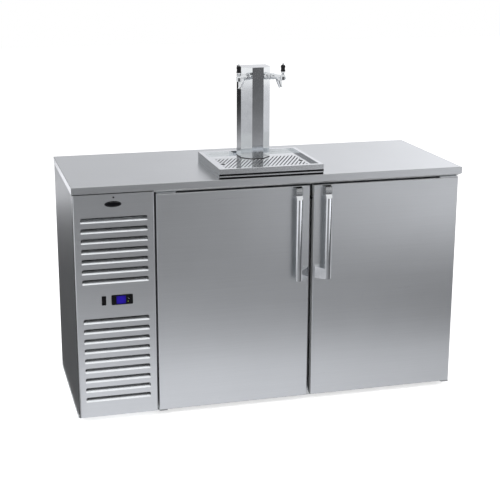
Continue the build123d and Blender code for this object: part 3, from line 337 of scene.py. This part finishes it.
def repaint_nodes():
    """Edges, returns and inner faces that look different from the rest of their node; many carry
    painted light or painted shade.
    """
    near = 1 * MM
    top_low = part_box("worktop")[0]
    # painted light and shade: the worktop's sloped return wears a matt grey in place of mirrored
    # steel
    repaint("worktop", "return", lambda c, n: -0.95 < n.z < -0.3)
    panel_low, panel_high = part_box("grille_panel")
    badge_band = 40 * MM                       # plain stretch above the louvres
    louvre_reach = 12 * MM                     # how far back the lips go
    # painted highlight on the louvre lips' upward faces
    repaint("grille_panel", "lit_lip", lambda c, n: n.z > 0.2 and c.z < panel_high.z - badge_band
            and c.y < panel_low.y + louvre_reach)

    for side in SIDES:
        # painted shade: the liners' edges wear black so that the door gap stays dark
        repaint(side + "_door_liner", "black", lambda c, n: abs(n.y) < 0.5)
        # painted shade: a dark line along each door's rounded lower edge
        repaint(side + "_door_panel", "painted_gap_shade", lambda c, n: n.z < -0.25)
    # painted shade on the right door's edge inside the gap
    repaint("right_door_panel", "painted_gap_shade", lambda c, n: n.x < -0.9)

    # painted highlight along the left side faces of the worktop and the grille panel
    repaint("worktop", "skirt", lambda c, n: n.x < -0.9 and c.x < top_low.x + near)
    repaint("grille_panel", "skirt", lambda c, n: n.x < -0.9 and c.x < panel_low.x + near)
    divider_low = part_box("insulated_divider")[0]
    repaint("insulated_divider", "zinc", lambda c, n: n.x < -0.9 and c.x < divider_low.x + near)
    # painted light on the grate's slot walls
    repaint("drip_grate", "lit_well", lambda c, n: abs(n.z) < 0.5)
    # painted highlight on the upper hinges' tops
    repaint("upper_hinges", "lit_lip", lambda c, n: n.z > 0.3)
    # painted shade: the mullion's front, seen down the gap, wears the dark grey of the gap
    repaint("centre_mullion", "painted_gap_shade", lambda c, n: n.y < -0.9)

    neck, crown = 30 * MM, 8 * MM              # heights of a handle's top block and its crown
    for side in SIDES:
        bar_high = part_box(side + "_door_handle")[1]
        # painted shade: the front of each handle's top block wears a darker copy of the chrome, and
        # its top the deep shadow
        repaint(side + "_door_handle", "block", lambda c, n: n.y < -0.7 and c.z > bar_high.z - neck)
        repaint(side + "_door_handle", "shadow", lambda c, n: n.z > 0.7 and c.z > bar_high.z - crown)

    tray_low, tray_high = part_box("drip_tray")
    skin = 0.1 * MM
    groove_depth, groove_near, groove_far = 20 * MM, 0.3 * MM, 5 * MM
    floor_depth = 26 * MM
    repaint("drip_tray", "tray_skirt", lambda c, n: abs(n.z) < 0.1 and (
        min(c.x - tray_low.x, tray_high.x - c.x, c.y - tray_low.y, tray_high.y - c.y) < skin))
    repaint("drip_tray", "shadow", lambda c, n: c.z < tray_high.z - groove_depth
            and groove_near < c.y - tray_low.y < groove_far)
    # painted light on the tray's floor under the grate
    repaint("drip_tray", "lit_well", lambda c, n: n.z > 0.9 and c.z < tray_high.z - floor_depth)


def soften_edges():
    """Small bevel on the drawn edges so that they catch light as folded metal does."""
    for name, width in (("left_door_handle", 0.0012), ("right_door_handle", 0.0012),
                        ("tower_column", 0.0015), ("tower_cap", 0.0008)):
        bevel = NODES[name].modifiers.new("edge", "BEVEL")
        bevel.width = width
        bevel.segments = 3
        bevel.limit_method = "ANGLE"
        bevel.angle_limit = radians(28)
        bevel.harden_normals = False


# ------------------------------------------------------------------ small fittings
def piece(name, mesh, finish, body):
    """A mesh of the scene's own that rides on a body."""
    thing = bpy.data.objects.new(name, mesh)
    bpy.context.scene.collection.objects.link(thing)
    mesh.materials.append(FINISH[finish])
    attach(thing, body)


def lofted(name, rings, closed_ends=True):
    """Mesh through rings of equal length, each a list of points in order."""
    mesh = bpy.data.meshes.new(name)
    count = len(rings[0])
    points = [Vector(p) for ring in rings for p in ring]
    faces = []
    for level in range(len(rings) - 1):
        for i in range(count):
            j = (i + 1) % count
            a, b = level * count, (level + 1) * count
            faces.append((a + i, a + j, b + j, b + i))
    if closed_ends:
        faces.append(tuple(reversed(range(count))))
        faces.append(tuple(range((len(rings) - 1) * count, len(rings) * count)))
    mesh.from_pydata(points, [], faces)
    shaper = bmesh.new()
    shaper.from_mesh(mesh)
    bmesh.ops.recalc_face_normals(shaper, faces=shaper.faces)
    shaper.to_mesh(mesh)
    shaper.free()
    return mesh


def oval(middle, half_x, half_z, y, count=64):
    """Ring of points round an ellipse that faces along Y."""
    return [(middle.x + half_x * cos(2 * pi * i / count), y,
             middle.z + half_z * sin(2 * pi * i / count)) for i in range(count)]


def smooth(mesh):
    """Smooth shading on the four-sided faces; flat ends stay flat."""
    for face in mesh.polygons:
        face.use_smooth = len(face.vertices) == 4


def oval_band(name, middle, half_x, half_z, width, y, rise):
    """Thin raised band that runs round an ellipse on a face at y and stands rise in front of it."""
    profile = [(0.0, 0.0), (0.2, -rise), (0.8, -rise), (1.0, 0.0)]
    rings = [oval(middle, half_x - width * t, half_z - width * t, y + dy) for t, dy in profile]
    mesh = lofted(name, rings, closed_ends=False)
    smooth(mesh)
    return mesh


def domed_head(name, middle, radius, rise, direction):
    """Low round head on a plane whose outward side is direction (+1 or -1 along Y)."""
    profile = [(1.0, 0.0), (0.96, 0.45), (0.78, 0.82), (0.45, 1.0)]
    rings = [oval(middle, radius * r, radius * r, middle.y + direction * rise * h, 32)
             for r, h in profile]
    mesh = lofted(name, rings)
    smooth(mesh)
    return mesh


def cross_recess(name, middle, half, width, depth, direction):
    """Plus-shaped recess, drawn as a dark cross just proud of the head."""
    w, proud = width / 2, 0.05 * MM
    plan = [(half, -w), (half, w), (w, w), (w, half), (-w, half), (-w, w), (-half, w), (-half, -w),
            (-w, -w), (-w, -half), (w, -half), (w, -w)]
    rings = [[(middle.x + x, middle.y + direction * d, middle.z + z) for x, z in plan]
             for d in (-depth, proud)]
    return lofted(name, rings)


def add_screw(name, middle, radius, rise, direction):
    """Pan-head screw with a cross recess."""
    piece(name, domed_head(name, middle, radius, rise, direction), "chrome", "cabinet")
    front = middle + Vector((0, direction * rise, 0))
    piece(name + "_recess", cross_recess(name + "_recess", front, radius * 0.5, radius * 0.2,
                                         rise * 0.5, direction), "shadow", "cabinet")


def add_badge_band():
    """Fine steel line inside the edge of the blank oval badge."""
    low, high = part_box("oval_badge")
    middle = (low + high) / 2
    half = (high - low) / 2
    edge, width = 2.6 * MM, 0.6 * MM           # from the badge's rim, and of the line
    sink, rise = 0.02 * MM, 0.12 * MM
    piece("badge_line", oval_band("badge_line", middle, half.x - edge, half.z - edge, width,
                                  low.y + sink, rise), "badge_band", "cabinet")


def add_gap_plug():
    """Black plug on the mullion, seen between the doors near their tops."""
    mullion_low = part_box("centre_mullion")[0]
    door_low, door_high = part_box("right_door_panel")
    left_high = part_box("left_door_panel")[1]
    drop, clearance = 50 * MM, 1.2 * MM        # under the doors' tops, and to each door
    half_x, half_z = (door_low.x - left_high.x) / 2 - clearance, 4.5 * MM
    middle = Vector(((left_high.x + door_low.x) / 2, 0, door_high.z - drop))
    profile = [(1.0, mullion_low.y), (1.0, door_low.y + 12 * MM), (0.8, door_low.y + 9 * MM)]
    rings = [oval(middle, half_x * r, half_z * r, y, 32) for r, y in profile]
    mesh = lofted("gap_plug", rings)
    smooth(mesh)
    piece("gap_plug", mesh, "shadow", "cabinet")


def add_tray_groove_shade():
    """Black strip laid in the groove along the drip tray's front: painted shade that deepens the
    groove's dark line.
    """
    low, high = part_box("drip_tray")
    height = high.z - 23.0 * MM                # middle of the groove
    root, root_half = 1.2, 3.2                 # back of the strip and half its height there
    face, face_half = -0.35, 2.9               # the same at its front
    overhang, taper = 0.3 * MM, 0.8            # past the tray's ends, and drawn in there
    rings = []
    for x, inset in ((low.x - overhang, taper), (low.x, 0.0), (high.x, 0.0),
                     (high.x + overhang, taper)):
        section = ((root, -root_half), (inset + face, -face_half), (inset + face, face_half),
                   (root, root_half))
        rings.append([(x, low.y + back * MM, height + z * MM) for back, z in section])
    piece("tray_groove_shade", lofted("tray_groove_shade", rings), "shadow", "cabinet")


def add_finger_hole_shades():
    """Black rings in the two finger holes of the grate: painted shade that makes the holes read
    dark.
    """
    low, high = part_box("drip_grate")
    middle_x = (low.x + high.x) / 2
    spread, back = 155.0 * MM, 121.4 * MM      # holes from the grate's middle and front edge
    outer, inner = 9.4 * MM, 6.6 * MM          # the rings' radii
    bottom, top = low.z + 0.2 * MM, high.z + 0.3 * MM
    section = ((outer, bottom), (inner, bottom), (inner, top), (outer, top), (outer, bottom))
    count = 40
    angles = [2 * pi * i / count for i in range(count)]
    for side, sign in zip(SIDES, (-1, 1)):
        x, y = middle_x + sign * spread, low.y + back
        rings = [[(x + radius * cos(a), y + radius * sin(a), z) for a in angles]
                 for radius, z in section]
        piece(side + "_finger_hole_shade", lofted(side + "_finger_hole_shade", rings, closed_ends=False), "shadow",
              "drip_grate_body")


def add_controller_lamps():
    """Two small indicators at the controller's right end, placed from its middle."""
    low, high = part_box("controller_bezel")
    middle = (low + high) / 2
    radius, rise, sink = 1.3 * MM, 0.4 * MM, 0.1 * MM
    for name, finish, dx, dz in (("running_lamp", "green_lamp", 21.5, -7.4),
                                 ("power_lamp", "white_lamp", 24.0, 5.0)):
        place = Vector((middle.x + dx * MM, low.y + sink, middle.z + dz * MM))
        piece(name, domed_head(name, place, radius, rise, -1), finish, "cabinet")


def add_screws():
    """Recess of the panel's screw and the fixings of the rear panel."""
    low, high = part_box("grille_screw")
    face = Vector(((low.x + high.x) / 2, low.y, (low.z + high.z) / 2))
    half = (high.x - low.x) / 2
    piece("grille_screw_recess", cross_recess("grille_screw_recess", face, half * 0.6, half * 0.25,
                                              0.4 * MM, -1), "shadow", "cabinet")
    low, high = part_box("rear_panel")
    inset, radius, rise = 12 * MM, 3.6 * MM, 1.0 * MM
    columns = 6
    for column in range(columns):
        x = low.x + inset + (high.x - low.x - 2 * inset) * column / (columns - 1)
        for row, z in (("low", low.z + inset), ("high", high.z - inset)):
            add_screw(f"rear_screw_{row}_{column}", Vector((x, high.y, z)), radius, rise, 1)


def add_fittings():
    """The scene's own small pieces."""
    add_badge_band()
    add_gap_plug()
    add_tray_groove_shade()
    add_finger_hole_shades()
    add_controller_lamps()
    add_screws()


# ------------------------------------------------------------------ studio and camera
CAMERA_AZIMUTH = -14.54          # degrees that it is turned to the right of straight ahead
CAMERA_ELEVATION = 14.83         # degrees that it looks down
CAMERA_PLACE = (-1.19245, -4.28994, 1.80631)   # metres, in the cooler's own frame
CAMERA_LENS = 81.75              # mm on a sensor 36 mm wide
CAMERA_SHIFT = (0.0320, -0.0382)


def add_camera():
    """Three-quarter view from the front left and a little above."""
    data = bpy.data.cameras.new("camera")
    data.sensor_width = 36.0
    data.lens = CAMERA_LENS
    data.shift_x, data.shift_y = CAMERA_SHIFT
    camera = bpy.data.objects.new("camera", data)
    bpy.context.scene.collection.objects.link(camera)
    camera.location = CAMERA_PLACE
    camera.rotation_euler = (radians(90.0 - CAMERA_ELEVATION), 0.0, radians(CAMERA_AZIMUTH))
    bpy.context.scene.camera = camera


def seen_by_mirror(nodes, links):
    """1 for camera, glossy and transmission rays, 0 for the rays that light things."""
    path = nodes.new("ShaderNodeLightPath")
    total = path.outputs["Is Camera Ray"]
    for name in ("Is Glossy Ray", "Is Transmission Ray"):
        add = nodes.new("ShaderNodeMath")
        add.operation = "MAXIMUM"
        links.new(total, add.inputs[0])
        links.new(path.outputs[name], add.inputs[1])
        total = add.outputs[0]
    return total


def add_world(level):
    """White surroundings that light the cooler at the given level."""
    world = bpy.data.worlds.new("studio")
    bpy.context.scene.world = world
    world.use_nodes = True
    nodes, links = world.node_tree.nodes, world.node_tree.links
    background = nodes["Background"]
    strength = nodes.new("ShaderNodeMapRange")
    strength.inputs["To Min"].default_value = level
    strength.inputs["To Max"].default_value = 1.0
    links.new(seen_by_mirror(nodes, links), strength.inputs["Value"])
    links.new(strength.outputs["Result"], background.inputs["Strength"])
    background.inputs["Color"].default_value = (1.0, 1.0, 1.0, 1.0)


def flat_card(name, corners):
    """One flat face of the stage."""
    mesh = bpy.data.meshes.new(name)
    mesh.from_pydata([Vector(c) for c in corners], [], [tuple(range(len(corners)))])
    card = bpy.data.objects.new(name, mesh)
    bpy.context.scene.collection.objects.link(card)
    return card


def add_floor(lift):
    """Pale matt floor; lift is the glow that brings it up to white."""
    size, z = 14.0, -0.0005
    floor = flat_card("floor", [(-size, -size, z), (size, -size, z), (size, size, z),
                                (-size, size, z)])
    material = bpy.data.materials.new("pale_floor")
    material.use_nodes = True
    nodes, links = material.node_tree.nodes, material.node_tree.links
    bsdf = nodes["Principled BSDF"]
    bsdf.inputs["Base Color"].default_value = (0.9, 0.9, 0.9, 1.0)
    bsdf.inputs["Roughness"].default_value = 0.9
    bsdf.inputs["Specular IOR Level"].default_value = 0.0
    bsdf.inputs["Emission Color"].default_value = (1.0, 1.0, 1.0, 1.0)
    strength = nodes.new("ShaderNodeMath")
    strength.operation = "MULTIPLY"
    strength.inputs[1].default_value = lift
    links.new(seen_by_mirror(nodes, links), strength.inputs[0])
    links.new(strength.outputs[0], bsdf.inputs["Emission Strength"])
    floor.data.materials.append(material)


def grade(nodes, links, coordinate, stops, tint):
    """Grey ramp along one coordinate; stops are (place in metres, grey level), rising."""
    low, high = stops[0][0], stops[-1][0]
    share = nodes.new("ShaderNodeMapRange")
    share.inputs["From Min"].default_value = low
    share.inputs["From Max"].default_value = high
    links.new(coordinate, share.inputs["Value"])
    ramp = nodes.new("ShaderNodeValToRGB")
    elements = ramp.color_ramp.elements
    while len(elements) < len(stops):
        elements.new(0.5)
    for element, (at, level) in zip(elements, stops):
        element.position = (at - low) / (high - low)
        element.color = (level * tint[0], level * tint[1], level * tint[2], 1.0)
    links.new(share.outputs["Result"], ramp.inputs["Fac"])
    return ramp.outputs["Color"]


def graded_card(name, corners, axis, stops, across=None):
    """A graded card that only reflections see, as studios place round polished metal.

    across is a second set of stops, (axis, stops), whose levels multiply the first."""
    card = flat_card(name, corners)
    material = bpy.data.materials.new(name + "_grey")
    material.use_nodes = True
    nodes, links = material.node_tree.nodes, material.node_tree.links
    emission = nodes.new("ShaderNodeEmission")
    parts = nodes.new("ShaderNodeSeparateXYZ")
    links.new(nodes.new("ShaderNodeTexCoord").outputs["Object"], parts.inputs[0])
    color = grade(nodes, links, parts.outputs[axis], stops, (0.997, 1.0, 1.035))
    if across:
        product = nodes.new("ShaderNodeVectorMath")
        product.operation = "MULTIPLY"
        links.new(color, product.inputs[0])
        links.new(grade(nodes, links, parts.outputs[across[0]], across[1], (1.0, 1.0, 1.0)),
                  product.inputs[1])
        color = product.outputs[0]
    links.new(color, emission.inputs["Color"])
    links.new(emission.outputs[0], nodes["Material Output"].inputs["Surface"])
    card.data.materials.append(material)
    card.visible_camera = False
    card.visible_diffuse = False
    card.visible_shadow = False
    card.visible_transmission = False


def add_lamp(name, place, target, size, energy):
    """Soft box that looks at the target and leaves no glint; its energy is in watts."""
    data = bpy.data.lights.new(name, "AREA")
    data.shape = "RECTANGLE"
    data.size, data.size_y = size
    data.energy = energy
    lamp = bpy.data.objects.new(name, data)
    bpy.context.scene.collection.objects.link(lamp)
    lamp.location = place
    aim = Vector(target) - Vector(place)
    lamp.rotation_euler = aim.to_track_quat("-Z", "Y").to_euler()
    lamp.visible_glossy = False


def floor_rectangle(x0, x1, y0, y1):
    """Corners of a card that lies just over the floor."""
    z = 0.001
    return [(x0, y0, z), (x1, y0, z), (x1, y1, z), (x0, y1, z)]


def standing_rectangle(x0, x1, y, z0, z1):
    """Corners of an upright card that faces along Y."""
    return [(x0, y, z0), (x1, y, z0), (x1, y, z1), (x0, y, z1)]


def add_studio():
    """White room with two soft boxes and the cards that the steel mirrors."""
    add_world(0.62)
    add_floor(0.62)
    middle, soft_box = (0, 0, 0.5), (2.4, 2.4)
    add_lamp("key", (-2.6, -3.4, 3.6), middle, soft_box, 95.0)
    add_lamp("fill", (3.2, -2.6, 2.4), middle, soft_box, 40.0)
    add_front_cards()
    add_side_cards()
    add_high_cards()


def add_front_cards():
    """Floor in front of the cooler: the further a card lies, the higher the face that mirrors it."""
    # tray's skirt and column
    graded_card("far_card", floor_rectangle(-9.0, 9.0, -60.0, -5.4), "Y",
                [(-60.0, 0.145), (-9.0, 0.145), (-7.0, 0.19), (-5.4, 0.32)])
    # worktop's edge and the doors' upper halves
    graded_card("front_card", floor_rectangle(-1.2, 9.0, -5.4, -2.4), "X",
                [(-1.2, 0.21), (0.2, 0.23), (0.7, 0.45), (1.2, 0.8), (1.9, 1.25), (3.0, 1.5),
                 (9.0, 1.5)],
                ("Y", [(-5.4, 0.33), (-4.8, 0.5), (-4.2, 0.5), (-3.8, 1.1), (-3.1, 1.3),
                       (-2.7, 1.2), (-2.4, 0.8)]))
    # the doors' lower halves
    graded_card("near_card", floor_rectangle(-1.2, 9.0, -2.4, -0.8), "Y",
                [(-2.4, 0.26), (-1.5, 0.33), (-1.1, 0.48), (-0.8, 0.78)],
                ("X", [(-1.2, 2.4), (-1.0, 1.5), (-0.2, 1.2), (0.4, 0.97), (0.9, 0.72),
                       (1.4, 0.38), (9.0, 0.38)]))
    # the doors' feet
    graded_card("foot_card", floor_rectangle(-1.2, 9.0, -0.8, -0.306), "X",
                [(-1.2, 1.08), (0.0, 0.93), (0.8, 0.73), (9.0, 0.66)])


def add_side_cards():
    """Floor beside the cooler, for the left side and the column's chamfers."""
    graded_card("front_left_card", floor_rectangle(-9.0, -1.2, -5.4, -0.7), "X",
                [(-9.0, 0.6), (-4.4, 0.6), (-3.4, 1.0), (-1.6, 1.0), (-1.35, 0.5), (-1.2, 0.42)])
    graded_card("right_card", floor_rectangle(1.4, 9.0, -0.306, 3.2), "X",
                [(1.4, 0.72), (9.0, 0.8)])
    graded_card("left_card", floor_rectangle(-6.0, -0.765, -0.7, 14.0), "Y",
                [(-0.7, 0.055), (1.8, 0.047), (2.6, 0.10), (3.2, 0.27), (3.5, 0.68), (4.2, 0.72),
                 (4.9, 0.5), (5.3, 0.42), (5.8, 0.25), (6.3, 0.13), (6.9, 0.07), (7.6, 0.035),
                 (14.0, 0.01)],
                ("X", [(-6.0, 1.0), (-1.3, 1.0), (-1.18, 1.5), (-0.765, 1.5)]))
    graded_card("left_back_card", floor_rectangle(-20.0, -0.5, 14.0, 60.0), "Y",
                [(14.0, 0.01), (60.0, 0.01)])


def add_high_cards():
    """Upright cards, for the worktop and for what the tray and the column mirror in each other."""
    graded_card("back_card", standing_rectangle(-5.0, 12.0, 16.0, 2.4, 12.0), "X",
                [(-5.0, 0.64), (0.4, 0.69), (2.1, 0.70), (4.0, 0.85), (6.3, 0.98), (7.5, 1.12),
                 (8.5, 1.3), (12.0, 1.3)])
    graded_card("left_flag", standing_rectangle(-7.0, -1.8, 10.0, 1.2, 6.0), "X",
                [(-7.0, 0.33), (-1.8, 0.33)])
    graded_card("foot_flag", standing_rectangle(0.74, 0.94, -3.0, 1.35, 1.7), "X",
                [(0.74, 0.1), (0.94, 0.1)])
    graded_card("high_flag", standing_rectangle(-5.0, 6.0, -6.0, 3.4, 8.0), "X",
                [(-5.0, 0.05), (6.0, 0.05)])


# ------------------------------------------------------------------ the scene
bpy.context.scene.view_settings.view_transform = "Standard"
dress_nodes()
repaint_nodes()
soften_edges()
add_fittings()
add_camera()
add_studio()
